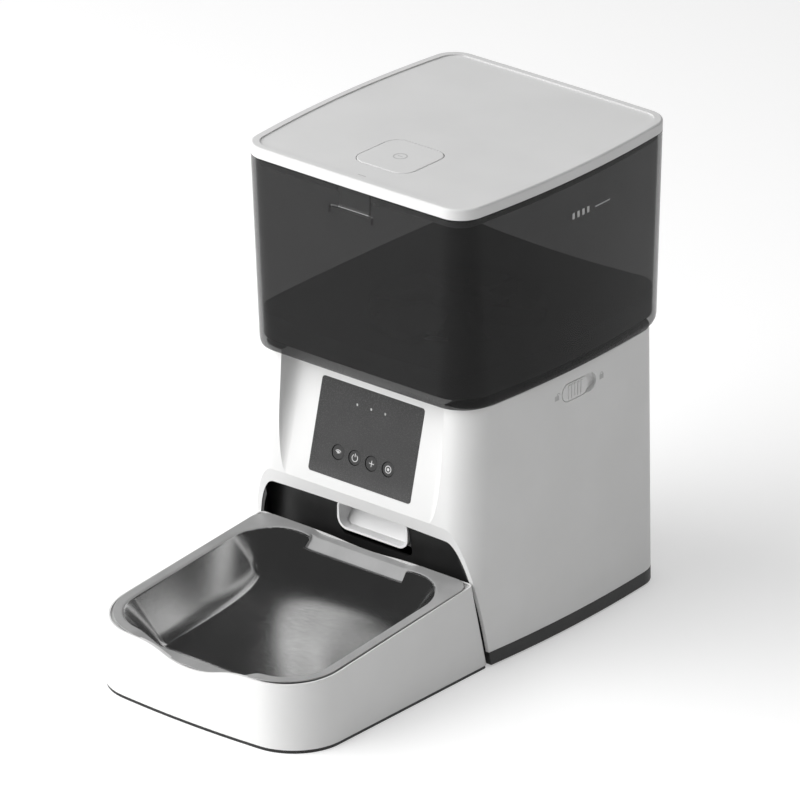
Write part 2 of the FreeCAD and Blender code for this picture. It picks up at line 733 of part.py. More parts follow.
def battery_door():
    half = 1.5 * CELL_PITCH - GAP
    knuckle_r = DOOR_T / 2
    front, rear = BATTERY_Y - DOOR_HALF_Y + GAP + knuckle_r, BATTERY_Y + DOOR_HALF_Y - GAP
    plate = box(-half, front, BASE_Z, half, rear, BASE_Z + DOOR_T)
    door = fuse(plate, rod(-half, front, BASE_Z + knuckle_r, knuckle_r, 2 * half, V(1, 0, 0)))
    for k in range(5):
        door = door.cut(box(-12, rear - 8 - 2.4 * k, BASE_Z - 1, 12, rear - 7 - 2.4 * k, BASE_Z + 0.7))
    return door


def main_board():
    """Upright circuit board by the -X wall, with a chip, a connector, a capacitor block and a coil."""
    face = BOARD_X + BOARD_T - 0.05
    board = round_yz(84, 150, 60, 130, 1.0, BOARD_X, BOARD_T)
    chip = round_yz(92, 106, 96, 110, 0.6, face, 1.4)
    connector = round_yz(112, 118, 92, 114, 0.6, face, 6.0)
    capacitor = round_yz(124, 132, 70, 78, 0.6, face, 8.0)
    coil = round_yz(136, 140, 70, 86, 0.6, face, 5.0)
    return fuse(board, chip, connector, capacitor, coil)


def dc_jack():
    """Barrel socket: a round nose in the rear wall and a square body behind it."""
    rear = HOUSING_REAR_Y
    nose = rod(JACK_X, rear - 6, JACK_Z, JACK_R, 5.4, V(0, 1, 0))
    body = box(JACK_X - 5.5, rear - 16, JACK_Z - 5.5, JACK_X + 5.5, rear - 5.9, JACK_Z + 5.5)
    socket = fuse(nose, body).cut(rod(JACK_X, rear - 12, JACK_Z, 2.8, 14, V(0, 1, 0)))
    pin = rod(JACK_X, rear - 12.5, JACK_Z, 1.0, 10, V(0, 1, 0))
    return fuse(socket, pin)


def speaker():
    z = BASE_Z + 2.6
    frame = rod(SPEAKER_X, SPEAKER_Y, z, SPEAKER_R, 3.0)
    magnet = rod(SPEAKER_X, SPEAKER_Y, z + 2.9, 9.0, 6.0)
    cone = Part.makeCone(14.5, 6.0, 2.2, V(SPEAKER_X, SPEAKER_Y, z - 0.01), V(0, 0, 1))
    return fuse(frame, magnet).cut(cone)


# ---------------------------------------------------------------- tank
def tank_section(z, inset=0.0):
    """The tank tapers from a wider crease near its foot to the lid's outline."""
    t = (z - TANK_CREASE_Z) / (LID_LOW_Z - TANK_CREASE_Z)
    t = max(0.0, t)
    hx = blend(95.7, LID_HALF_X, t) - inset
    hy = blend(100.9, LID_HALF_Y, t) - inset
    sx = blend(8.9, 6.9, t)
    sy = blend(0.5, 0.7, t)
    r = blend(23.8, 17.3, t) - inset
    return bowed(hx, hy, sx, sy, r, blend(TANK_Y, LID_Y, t), z)


def tank_foot_section(z, drop):
    """Sections of the rounded foot below the crease; drop runs from 0 at the crease to 1 at the foot."""
    pull_x = 2.6 * drop
    pull_y = 4.6 * drop
    bow, r = 8.9 - 2 * drop, 23.8 - 1.5 * drop
    return bowed(95.7 - pull_x, 100.9 - pull_y, bow, 0.5, r, TANK_Y - 2.9 * drop, z)


def hopper_tank():
    steps = 4
    rounded = []
    for i in range(steps + 1):
        turn = math.pi / 2 * i / steps
        drop = 1 - math.sin(turn)
        z = TANK_CREASE_Z - (TANK_CREASE_Z - TANK_FOOT_Z) * math.cos(turn)
        rounded.append(tank_foot_section(z, drop))
    solid = loft(*rounded)
    upper = loft(tank_section(TANK_CREASE_Z), tank_section(TANK_TOP_Z))
    solid = solid.fuse(upper)
    hollow = loft(tank_section(TANK_CREASE_Z, TANK_WALL), tank_section(LID_LOW_Z + 2, TANK_WALL))
    well = round_block(-80, -4, TANK_FOOT_Z - 1, 80, 162, TANK_CREASE_Z + 1, 16)
    solid = solid.cut(hollow).cut(well)
    catch = box(-LATCH_HALF_X, -40, LATCH_Z - 1.0, LATCH_HALF_X, 0, LATCH_Z + 1.0)
    solid = solid.cut(catch)
    for side in (-1, 1):
        leg = box(side * LATCH_HALF_X - 1, -40, LATCH_Z - 5, side * LATCH_HALF_X + 1, 0, LATCH_Z + 1.0)
        solid = solid.cut(leg)
        notch = box(side * HINGE_X - 7, 170, HINGE_Z - 1.6, side * HINGE_X + 7, 200, TANK_TOP_Z + 5)
        solid = solid.cut(notch)
    return solid.removeSplitter()


def hopper_floor():
    """Dark funnel insert: a sloping floor down to the round rotor pocket, open over the chute."""
    low = TANK_CREASE_Z + 0.2
    plug = loft(tank_section(low, TANK_WALL + 0.3), tank_section(FUNNEL_HIGH_Z, TANK_WALL + 0.3))
    cone = loft(Part.Wire([Part.makeCircle(POCKET_R + 1.5, V(0, ROTOR_Y, FUNNEL_LOW_Z))]),
                Part.Wire([Part.makeCircle(170, V(0, ROTOR_Y, FUNNEL_LOW_Z + 12.5))]))
    plug = plug.cut(cone)
    plug = plug.cut(rod(0, ROTOR_Y, POCKET_FLOOR_Z, POCKET_R, 30))
    foot = round_block(-79.6, -3.6, TANK_FOOT_Z + 0.6, 79.6, 161.6, low + 0.1, 15.6)
    plug = plug.fuse(foot)
    plug = plug.cut(rod(0, ROTOR_Y, POCKET_FLOOR_Z, POCKET_R, 30))
    under = round_block(-77.5, -1.5, TANK_FOOT_Z, 77.5, 159.5, POCKET_FLOOR_Z + 6.5, 14)
    under = under.cut(rod(0, ROTOR_Y, TANK_FOOT_Z - 1, POCKET_R + 2, 40))
    plug = plug.cut(under)
    core = rod(0, ROTOR_Y, TANK_FOOT_Z - 1, POCKET_R - 2, POCKET_FLOOR_Z - 2 - TANK_FOOT_Z + 1)
    plug = plug.cut(core)
    plug = plug.cut(rod(0, ROTOR_Y, TANK_FOOT_Z, 6.4, 20))
    plug = plug.cut(outlet_sector(24.0, POCKET_R - 3, 55, TANK_FOOT_Z, POCKET_FLOOR_Z + 2))
    plug = plug.fuse(box(-18, ROTOR_Y - POCKET_R - 9, FUNNEL_LOW_Z - 3, 18, ROTOR_Y - POCKET_R - 1, WIPER_Z))
    return plug.removeSplitter()


def outlet_sector(r0, r1, degrees, z0, z1):
    """Ring sector facing the front, centred on the rotor's axis."""
    ring = rod(0, ROTOR_Y, z0, r1, z1 - z0).cut(rod(0, ROTOR_Y, z0 - 1, r0, z1 - z0 + 2))
    reach = 200.0
    spread = math.radians(degrees / 2)
    wedge = polygon([
        V(0, ROTOR_Y, z0),
        V(-reach * math.sin(spread), ROTOR_Y - reach * math.cos(spread), z0),
        V(reach * math.sin(spread), ROTOR_Y - reach * math.cos(spread), z0),
    ])
    return ring.common(pad(wedge, V(0, 0, z1 - z0)))


def portion_rotor():
    """Paddle wheel with six food pockets, and a square socket for the drive dog."""
    z = POCKET_FLOOR_Z + 0.4
    hub = rod(0, 0, z, 16, ROTOR_H)
    vanes = []
    for k in range(6):
        vane = box(10, -1.6, z, POCKET_R - 1.4, 1.6, z + ROTOR_H - 1.5)
        vane.rotate(V(0, 0, 0), V(0, 0, 1), 60 * k + 30)
        vanes.append(vane)
    dome = Part.makeCone(16, 7, 8, V(0, 0, z + ROTOR_H - 0.01), V(0, 0, 1))
    wheel = fuse(hub, dome, *vanes)
    wheel = wheel.cut(box(-4.0, -4.0, z - 1, 4.0, 4.0, DOG_TOP_Z + 0.6))
    return moved(wheel, 0, ROTOR_Y, 0)


def stirrer():
    """Soft arm on the rotor's nose that keeps the kibble from bridging."""
    z = POCKET_FLOOR_Z + 0.4 + ROTOR_H + 8.0
    ring = rod(0, 0, z, 6.5, 5)
    arms = []
    for turn, length in ((0, 40), (180, 26)):
        arm = round_block(4, -2.2, z + 0.5, length, 2.2, z + 4.5, 2)
        arm.rotate(V(0, 0, 0), V(0, 0, 1), turn)
        arms.append(arm)
    return moved(fuse(ring, *arms), 0, ROTOR_Y, 0)


def portion_wiper():
    """Rubber blade over the food hole, so that one pocket's worth falls at a time."""
    z = WIPER_Z
    hood = outlet_sector(20.0, POCKET_R - 0.1, 50, z, z + 2.4)
    tab = box(-18, ROTOR_Y - POCKET_R - 9, z, 18, ROTOR_Y - POCKET_R + 4, z + 2.4)
    return fuse(hood, tab).cut(rod(0, ROTOR_Y, z - 1, 20.0, 6))


# ---------------------------------------------------------------- lid
def lid_section(z, inset=0.0):
    return bowed(LID_HALF_X - inset, LID_HALF_Y - inset, 6.9, 0.7, max(2.0, 17.3 - inset), LID_Y, z)


def lid_prism(z0, z1, inset):
    return pad(lid_section(z0, inset), V(0, 0, z1 - z0))


def push_block(z0, z1, grow):
    half = PUSH_HALF + grow
    return round_block(-half, PUSH_Y - half, z0, half, PUSH_Y + half, z1, PUSH_R + grow)


def lid_shell():
    plate = lid_prism(LID_LOW_Z, LID_TOP_Z, 0)
    top_edges = [e for e in plate.Edges if e.BoundBox.ZMin > LID_TOP_Z - 0.01]
    plate = plate.makeFillet(1.4, top_edges)
    plate = plate.cut(lid_prism(LID_TOP_Z - LID_RECESS, LID_TOP_Z + 1, LID_RIM_W))
    plate = plate.cut(lid_prism(LID_LOW_Z - 1, LID_TOP_Z - LID_RECESS - 1.8, WALL))
    well = push_block(LID_LOW_Z, LID_TOP_Z - LID_RECESS - 0.1, 2.0)
    plate = plate.fuse(well)
    plate = plate.cut(push_block(LID_LOW_Z - 1, LID_TOP_Z + 1, 0.5))
    return plate.removeSplitter()


def lid_frame():
    """Inner frame under the lid: a skirt that drops into the tank, and the two rear pivots."""
    top = LID_LOW_Z
    skirt = lid_prism(SKIRT_LOW_Z, top, SKIRT_INSET).cut(lid_prism(SKIRT_LOW_Z - 1, top + 1, SKIRT_INSET + 2))
    sheet = lid_prism(top - 1.6, top, SKIRT_INSET - 2.0)
    sheet = sheet.cut(box(-8, PUSH_Y - 18, top - 5, 8, PUSH_Y - 9, top + 5))
    frame = fuse(skirt, sheet)
    guides = []
    for side in (-1, 1):
        guides.append(box(side * 14 - 1, -14, LATCH_Z + 4, side * 14 + 1, PUSH_Y - 18, top - 1.5))
    frame = frame.multiFuse(guides)
    frame = frame.cut(box(-12.4, -30, SKIRT_LOW_Z - 20, 12.4, PUSH_Y - 16, top - 1.6))
    frame = frame.cut(rod(DRY_X, DRY_Y, top - 5, DRY_R - 2, 10))
    for side in (-1, 1):
        web = box(side * HINGE_X - 4, 174, HINGE_Z - HINGE_R, side * HINGE_X + 4, HINGE_Y, HINGE_Z + HINGE_R)
        pivot = rod(side * HINGE_X - 6, HINGE_Y, HINGE_Z, HINGE_R, 12, V(1, 0, 0))
        frame = frame.fuse(fuse(web, pivot))
    return frame.removeSplitter()


def lid_seal():
    """Silicone ring on the skirt, pressed against the inside of the tank."""
    ring = lid_prism(SKIRT_LOW_Z + 1.2, SKIRT_LOW_Z + 4.0, TANK_WALL + 1.0)
    ring = ring.cut(lid_prism(SKIRT_LOW_Z, SKIRT_LOW_Z + 6, SKIRT_INSET))
    for side in (-1, 1):
        ring = ring.cut(box(side * HINGE_X - 7, 170, SKIRT_LOW_Z, side * HINGE_X + 7, 200, SKIRT_LOW_Z + 6))
    ring = ring.cut(box(-14, -40, SKIRT_LOW_Z, 14, 0, SKIRT_LOW_Z + 6))
    return ring


def dry_box():
    """Cup for the desiccant bag, hung under the lid frame."""
    top = LID_LOW_Z - 1.6
    cup = rod(DRY_X, DRY_Y, top - 14, DRY_R, 14)
    return cup.cut(rod(DRY_X, DRY_Y, top - 13, DRY_R - 2, 14))


def dry_cover():
    """Twist-off grille that closes the desiccant cup from below."""
    top = LID_LOW_Z - 1.6 - 14
    cover = rod(DRY_X, DRY_Y, top - 1.8, DRY_R, 1.6)
    for ring, count in ((8, 8), (15, 14), (22, 20)):
        for k in range(count):
            turn = 2 * math.pi * k / count
            x = DRY_X + ring * math.cos(turn)
            y = DRY_Y + ring * math.sin(turn)
            cover = cover.cut(rod(x, y, top - 3, 1.2, 5))
    grip = box(-14, -1.2, -4.2, 14, 1.2, 0.2)
    return fuse(cover, moved(grip, DRY_X, DRY_Y, top - 1.8))


def desiccant_bag():
    top = LID_LOW_Z - 1.6
    bag = round_block(DRY_X - 19, DRY_Y - 19, top - 12.6, DRY_X + 19, DRY_Y + 19, top - 5, 6)
    return bag


def lid_button():
    top = LID_TOP_Z - LID_RECESS
    cap = push_block(top - 2.2, top + 0.2, 0)
    cap = cap.makeFillet(0.6, [e for e in cap.Edges if e.BoundBox.ZMin > top + 0.19])
    skirt = push_block(top - 3.4, top - 2.1, 0).cut(push_block(top - 5.0, top - 2.0, -1.6))
    cam = box(-5, PUSH_Y - 15, top - 4.6, 5, PUSH_Y - 11, top - 2.1)
    return fuse(cap, skirt, cam)


def lid_latch():
    """Sliding bolt: a plate under the button, and an arm down to the nose behind the tank's slit."""
    top = LID_LOW_Z - 1.9
    front = -LID_HALF_Y + LID_Y + TANK_WALL + 1.3
    plate = box(-12, front, top - 1.8, 12, PUSH_Y - 4, top)
    arm = box(-12, front, LATCH_Z - 1.0, 12, front + 1.8, top)
    nose = box(-12, front - 0.8, LATCH_Z - 0.7, 12, front + 0.1, LATCH_Z + 0.7)
    return fuse(plate, arm, nose)


def button_spring():
    """Bowed leaf spring under the push button."""
    low = LID_LOW_Z
    high = LID_TOP_Z - LID_RECESS - 2.3
    y0 = PUSH_Y + 4 - SPRING_W / 2
    outer = Part.Arc(V(-SPRING_HALF, y0, low), V(0, y0, high), V(SPRING_HALF, y0, low))
    end = SPRING_HALF - 2 * SPRING_T
    inner = Part.Arc(V(end, y0, low), V(0, y0, high - SPRING_T), V(-end, y0, low))
    feet = [
        Part.LineSegment(V(SPRING_HALF, y0, low), V(end, y0, low)),
        Part.LineSegment(V(-end, y0, low), V(-SPRING_HALF, y0, low)),
    ]
    outline = Part.Wire([e.toShape() for e in (outer, feet[0], inner, feet[1])])
    return pad(outline, V(0, SPRING_W, 0))


# ---------------------------------------------------------------- lock slider
def lock_slider():
    """Ribbed knob in its stadium recess, with a stem and a hook tongue inside the housing."""
    face = housing_half_x(LOCK_Z)
    y0 = LOCK_Y - LOCK_SLOT_L / 2 + 0.4
    r = LOCK_SLOT_H / 2 - 0.4
    knob = round_yz(y0, y0 + LOCK_KNOB_L, LOCK_Z - r, LOCK_Z + r, r - 0.01, face - 2.8, 2.9)
    ribs = []
    for k in range(5):
        y = y0 + LOCK_KNOB_L / 2 + (k - 2) * 3.0
        ribs.append(box(face, y - 0.7, LOCK_Z - r + 1.2, face + 0.7, y + 0.7, LOCK_Z + r - 1.2))
    stem_y = y0 + LOCK_KNOB_L / 2
    stem = box(face - 7.5, stem_y - 3, LOCK_Z - 1.6, face - 2.7, stem_y + 3, LOCK_Z + 1.6)
    tongue = box(face - 9.5, stem_y - 5, LOCK_Z - 1.6, face - 7.4, stem_y + 5, HOUSING_TOP_Z - 1)
    return fuse(knob, *ribs, stem, tongue)


# ---------------------------------------------------------------- bowl tray
def tray_section(z, inset=0.0):
    """Tray outline: bowed front, big front corners, and sides that pinch in towards the rear higher up."""
    t = z / RIM_REAR_Z
    front = TRAY_FRONT_Y + TRAY_FRONT_DRAFT * t + inset
    rear = bay_edge_y(z) - TRAY_GAP - inset
    front_x = TRAY_HALF_X - TRAY_SIDE_DRAFT * t - inset
    rear_x = front_x - TRAY_PINCH * t
    crown = V(0, front - TRAY_CROWN, z)
    points = [
        crown,
        V(front_x, front + TRAY_FRONT_BULGE, z),
        V(rear_x, rear, z),
        V(-rear_x, rear, z),
        V(-front_x, front + TRAY_FRONT_BULGE, z),
    ]
    corner = TRAY_FRONT_R - inset
    tight = max(1.0, TRAY_REAR_R - inset)
    return rounded_polygon(points, [TRAY_FRONT_BOW_R, corner, tight, tight, corner])


def tray_prism(inset, low, high):
    return loft(tray_section(low, inset), tray_section(high, inset))


def dip_profile(half, depth, level):
    """Smooth dip in the rim, seen from the front, down from the level, as three tangent arcs."""
    slope = 2 * math.atan(depth / half)
    outer_r = half / 2 / math.sin(slope)
    inner_r = outer_r
    left = V(-half, 0, level)
    knee = V(-half / 2, 0, level - depth / 2)
    bottom = V(0, 0, level - depth)
    shoulder = V(-half + outer_r * math.sin(slope / 2), 0, level - outer_r * (1 - math.cos(slope / 2)))
    cheek = V(-inner_r * math.sin(slope / 2), 0, level - depth + inner_r * (1 - math.cos(slope / 2)))
    edges = [
        Part.Arc(left, shoulder, knee).toShape(),
        Part.Arc(knee, V(cheek.x, 0, cheek.z), bottom).toShape(),
        Part.Arc(bottom, V(-cheek.x, 0, cheek.z), V(-knee.x, 0, knee.z)).toShape(),
        Part.Arc(V(-knee.x, 0, knee.z), V(-shoulder.x, 0, shoulder.z), V(half, 0, level)).toShape(),
        Part.LineSegment(V(half, 0, level), V(half, 0, level + 60)).toShape(),
        Part.LineSegment(V(half, 0, level + 60), V(-half, 0, level + 60)).toShape(),
        Part.LineSegment(V(-half, 0, level + 60), left).toShape(),
    ]
    return Part.Wire(edges)


def above_rim(level):
    """Everything above the rim surface moved by the level, with its front and rear dips."""
    sky = box(-130, -230, level, 130, 60, level + 60)
    front = pad(dip_profile(FRONT_DIP_HALF_X, FRONT_DIP, level), V(0, 90, 0))
    rear = pad(dip_profile(REAR_DIP_HALF_X, REAR_DIP, level), V(0, 90, 0))
    return on_rim(sky.multiFuse([moved(front, 0, -230, 0), moved(rear, 0, -34, 0)]))


def tray_shell():
    block = tray_prism(0, TRAY_FOOT_H, 72).cut(above_rim(0))
    seat = tray_prism(1.1, 30, 76).common(above_rim(-BOWL_T - 0.4))
    hollow = tray_prism(3.8, TRAY_FOOT_H + WALL, 76)
    block = block.cut(seat).cut(hollow)
    for x in (-DOCK_X, DOCK_X):
        edge_y = bay_edge_y(DOCK_LOW_Z)
        near, far = edge_y - TRAY_GAP - WALL, edge_y + BAY_DEPTH + 4
        tab = box(x - DOCK_HALF, near, DOCK_LOW_Z, x + DOCK_HALF, far, DOCK_HIGH_Z)
        block = block.fuse(tab)
    return block.removeSplitter()


def tray_foot():
    return tray_prism(0.8, 0, TRAY_FOOT_H)


def basin_section(depth, shrink):
    """Basin outline parallel to the rim: round rear corners, tighter front ones, shrinking as it deepens."""
    half = BASIN_HALF_X - shrink
    rear = BASIN_REAR - shrink
    front = BASIN_FRONT + shrink
    r_rear = max(12.0, BASIN_REAR_R - shrink * 0.5)
    r_front = max(12.0, BASIN_FRONT_R - shrink * 0.2)
    points = [V(half, front, -depth), V(half, rear, -depth), V(-half, rear, -depth), V(-half, front, -depth)]
    return rounded_polygon(points, [r_front, r_rear, r_rear, r_front])


def basin(shrink, extra_depth, start):
    """Scooped basin as stacked sections; it steepens towards the rim."""
    steps = 6
    wires = [basin_section(start, shrink)]
    floor = BOWL_DEPTH + extra_depth
    for i in range(1, steps + 1):
        turn = math.pi / 2 * i / steps
        depth = floor * math.sin(turn)
        wires.append(basin_section(depth, shrink + BASIN_SCOOP * (1 - math.cos(turn))))
    return on_rim(loft(*wires))


def steel_bowl():
    sheet = tray_prism(1.5, 30, 76).cut(above_rim(0))
    sheet = sheet.common(above_rim(-BOWL_T))
    scoop = basin(0, BOWL_T, -2).cut(above_rim(-0.5))
    bowl = fuse(sheet, scoop)
    bowl = bowl.cut(basin(BOWL_T, 0, -20))
    tongue = round_block(-TONGUE_HALF_X, -TONGUE_REACH - 3, -16, TONGUE_HALF_X, 8, -0.2, 5)
    half = TONGUE_HALF_X - 1.2
    core = round_block(-half, -TONGUE_REACH - 1.8, -40, half, 8, -1.4 - REAR_DIP, 4)
    tongue = on_rim(tongue).cut(above_rim(-0.1)).cut(on_rim(core))
    tongue = tongue.common(fuse(basin(0.2, BOWL_T, -2), sheet))
    return fuse(bowl, tongue)


# ---------------------------------------------------------------- write the pieces
PIECES = {
    "body_shell": body_shell,
    "base_plate": base_plate,
    "rubber_feet": rubber_feet,
    "base_screws": base_screws,
    "front_liner": front_liner,
    "food_chute": food_chute,
    "portion_sensor": portion_sensor,
    "control_panel": control_panel,
    "light_pipes": light_pipes,
    "panel_board": panel_board,
    "microphone": microphone,
    "drive_deck": drive_deck,
    "deck_screws": deck_screws,
    "gearbox_case": gearbox_case,
    "motor": motor,
    "motor_shaft": motor_shaft,
    "motor_pinion": motor_pinion,
    "drive_gear": drive_gear,
    "drive_shaft": drive_shaft,
    "sealing_washer": sealing_washer,
    "battery_box": battery_box,
    "cells": cells,
    "battery_contacts": battery_contacts,
    "battery_door": battery_door,
    "main_board": main_board,
    "dc_jack": dc_jack,
    "speaker": speaker,
    "hopper_tank": hopper_tank,
    "hopper_floor": hopper_floor,
    "portion_rotor": portion_rotor,
    "stirrer": stirrer,
    "portion_wiper": portion_wiper,
    "lid_shell": lid_shell,
    "lid_frame": lid_frame,
    "lid_seal": lid_seal,
    "dry_box": dry_box,
    "dry_cover": dry_cover,
    "desiccant_bag": desiccant_bag,
    "lid_button": lid_button,
    "lid_latch": lid_latch,
    "button_spring": button_spring,
    "lock_slider": lock_slider,
    "tray_shell": tray_shell,
    "tray_foot": tray_foot,
    "steel_bowl": steel_bowl,
}

TRAY_PIECES = ("tray_shell", "tray_foot", "steel_bowl")

os.makedirs("parts", exist_ok=True)
for node, make in PIECES.items():
    place_x = TRAY_X if node in TRAY_PIECES else 0.0
    moved(make(), place_x, 0, 0).exportStep("parts/" + node + ".step")
for number, place in enumerate(key_places(), 1):
    control_key(place).exportStep("parts/control_key_%d.step" % number)
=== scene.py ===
"""Looks of the automatic pet feeder: detailed pieces, materials, studio light and camera."""
import json
import math

import bpy
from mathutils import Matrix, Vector


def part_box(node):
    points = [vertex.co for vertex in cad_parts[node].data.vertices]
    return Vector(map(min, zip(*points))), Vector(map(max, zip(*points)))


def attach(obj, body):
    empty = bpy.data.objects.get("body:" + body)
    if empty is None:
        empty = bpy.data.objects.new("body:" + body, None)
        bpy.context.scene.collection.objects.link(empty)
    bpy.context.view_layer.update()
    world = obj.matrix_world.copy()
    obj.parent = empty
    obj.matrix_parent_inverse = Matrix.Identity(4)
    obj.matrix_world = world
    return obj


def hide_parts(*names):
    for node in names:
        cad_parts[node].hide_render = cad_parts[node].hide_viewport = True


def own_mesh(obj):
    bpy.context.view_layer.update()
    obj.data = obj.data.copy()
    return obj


MM = 0.001
FASCIA_LEAN = math.radians(13.9)   # how far the panel leans back
PRINT_T = 0.05                     # thickness of printed marks, mm
FAR = 0.4                          # where rays towards the object start, metres

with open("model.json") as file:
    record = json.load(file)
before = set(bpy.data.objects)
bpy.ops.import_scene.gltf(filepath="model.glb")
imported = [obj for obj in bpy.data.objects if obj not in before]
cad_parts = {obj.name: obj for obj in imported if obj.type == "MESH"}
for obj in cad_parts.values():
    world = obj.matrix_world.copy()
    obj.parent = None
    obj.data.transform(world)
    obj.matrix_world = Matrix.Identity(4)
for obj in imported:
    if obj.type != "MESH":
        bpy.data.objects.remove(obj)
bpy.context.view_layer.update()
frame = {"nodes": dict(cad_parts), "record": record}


# ---------------------------------------------------------------- node helpers
def new_material(name):
    material = bpy.data.materials.new(name)
    material.use_nodes = True
    return material, material.node_tree.nodes, material.node_tree.links


def noise(nodes, links, scale, detail=3.0, stretch=(1.0, 1.0, 1.0)):
    """Noise in the object's own metres, optionally stretched along an axis."""
    coords = nodes.new("ShaderNodeTexCoord")
    mapping = nodes.new("ShaderNodeMapping")
    mapping.inputs["Scale"].default_value = stretch
    texture = nodes.new("ShaderNodeTexNoise")
    texture.inputs["Scale"].default_value = scale
    texture.inputs["Detail"].default_value = detail
    links.new(coords.outputs["Object"], mapping.inputs["Vector"])
    links.new(mapping.outputs["Vector"], texture.inputs["Vector"])
    return texture.outputs["Fac"]


def spread(nodes, links, value, low, high):
    """Maps the middle of a noise onto low..high."""
    node = nodes.new("ShaderNodeMapRange")
    node.inputs["From Min"].default_value = 0.3
    node.inputs["From Max"].default_value = 0.7
    node.inputs["To Min"].default_value = low
    node.inputs["To Max"].default_value = high
    links.new(value, node.inputs["Value"])
    return node.outputs["Result"]


def tint(nodes, links, value, dark, light):
    ramp = nodes.new("ShaderNodeValToRGB")
    ramp.color_ramp.elements[0].position = 0.3
    ramp.color_ramp.elements[0].color = (*dark, 1)
    ramp.color_ramp.elements[1].position = 0.7
    ramp.color_ramp.elements[1].color = (*light, 1)
    links.new(value, ramp.inputs["Fac"])
    return ramp.outputs["Color"]


def surface(name, dark, light, rough, cloud, grain, depth, stretch=(1.0, 1.0, 1.0)):
    """Soft colour clouds, uneven gloss and a fine moulded grain."""
    material, nodes, links = new_material(name)
    shader = nodes["Principled BSDF"]
    slow = noise(nodes, links, cloud)
    fine = noise(nodes, links, grain, 2.0, stretch)
    links.new(tint(nodes, links, slow, dark, light), shader.inputs["Base Color"])
    links.new(spread(nodes, links, fine, rough[0], rough[1]), shader.inputs["Roughness"])
    bump = nodes.new("ShaderNodeBump")
    bump.inputs["Strength"].default_value = 0.4
    bump.inputs["Distance"].default_value = depth * MM
    links.new(fine, bump.inputs["Height"])
    links.new(bump.outputs["Normal"], shader.inputs["Normal"])
    return material, shader


def grey(value):
    return (value, value, value)


# ---------------------------------------------------------------- materials
def body_white():
    return surface("body_white", (0.685, 0.685, 0.68), (0.715, 0.715, 0.712), (0.42, 0.52), 24, 1400, 0.02)[0]


def lid_white():
    dark, light = (0.64, 0.64, 0.638), (0.67, 0.67, 0.668)
    return surface("lid_matt_white", dark, light, (0.46, 0.56), 20, 1500, 0.02)[0]


def trim_dark():
    return surface("trim_dark", grey(0.010), grey(0.015), (0.42, 0.55), 60, 1500, 0.03)[0]


def liner_dark():
    return surface("liner_dark", grey(0.020), grey(0.028), (0.30, 0.42), 50, 1200, 0.02)[0]


def hopper_dark():
    return surface("hopper_dark", grey(0.008), grey(0.012), (0.55, 0.65), 45, 900, 0.0012)[0]


def tank_smoke():
    material, shader = surface("tank_smoke", grey(0.006), grey(0.009), (0.05, 0.09), 30, 500, 0.004)
    shader.inputs["Alpha"].default_value = 0.60
    shader.inputs["Specular IOR Level"].default_value = 0.25
    return material


def panel_gloss():
    material, shader = surface("panel_gloss", grey(0.030), grey(0.036), (0.22, 0.30), 60, 1500, 0.006)
    shader.inputs["Coat Weight"].default_value = 0.3
    return material


def key_dark():
    return surface("key_dark", grey(0.030), grey(0.038), (0.35, 0.45), 90, 1800, 0.01)[0]


def mark_light():
    return surface("mark_light", grey(0.55), grey(0.66), (0.45, 0.6), 300, 2500, 0.004)[0]


def mark_grey():
    return surface("mark_grey", grey(0.42), grey(0.50), (0.45, 0.6), 300, 2500, 0.004)[0]


def light_lens():
    return surface("light_lens", grey(0.45), grey(0.6), (0.2, 0.3), 400, 2500, 0.004)[0]


# Painted light: the chute's white is brighter than the body's white plastic, so that it reads as lit deep
# inside the shaded recess.
def chute_painted_light():
    return surface("chute_painted_light", grey(0.88), grey(0.92), (0.35, 0.45), 40, 1400, 0.01)[0]


def rim_painted_sheen():
    """Painted sheen: a light grey, partly metallic colour on the bowl's flange and on the strip along its
    tongue, standing in for the bright reflection of the steel there.
    """
    material, shader = surface("bowl_rim_painted_sheen", grey(0.40), grey(0.46), (0.38, 0.48), 60, 1600, 0.01)
    shader.inputs["Metallic"].default_value = 0.3
    return material


def brushed_steel(name, rough, bump_depth):
    """Drawn sheet: fine lines from side to side and slow gloss changes."""
    stretch = (0.12, 1.0, 1.0)
    material, shader = surface(name, grey(0.56), grey(0.63), rough, 30, 1600, bump_depth, stretch)
    shader.inputs["Metallic"].default_value = 1.0
    return material


def rubber():
    return surface("rubber", grey(0.018), grey(0.026), (0.7, 0.85), 120, 1800, 0.05)[0]


def silicone():
    material, shader = surface("silicone", grey(0.5), grey(0.6), (0.4, 0.55), 80, 900, 0.02)
    shader.inputs["Subsurface Weight"].default_value = 0.1
    shader.inputs["Subsurface Radius"].default_value = (0.002, 0.002, 0.002)
    return material


def circuit_green():
    dark, light = (0.010, 0.075, 0.028), (0.020, 0.12, 0.045)
    return surface("circuit_green", dark, light, (0.3, 0.45), 350, 1600, 0.03)[0]


def nylon():
    return surface("nylon", (0.58, 0.57, 0.53), (0.68, 0.67, 0.63), (0.4, 0.5), 120, 1200, 0.02)[0]


def cell_wrap():
    return surface("cell_wrap", (0.03, 0.05, 0.10), (0.05, 0.08, 0.15), (0.25, 0.4), 60, 900, 0.02)[0]


def bag_paper():
    return surface("bag_paper", (0.60, 0.59, 0.55), (0.76, 0.75, 0.72), (0.8, 0.95), 90, 500, 0.2)[0]


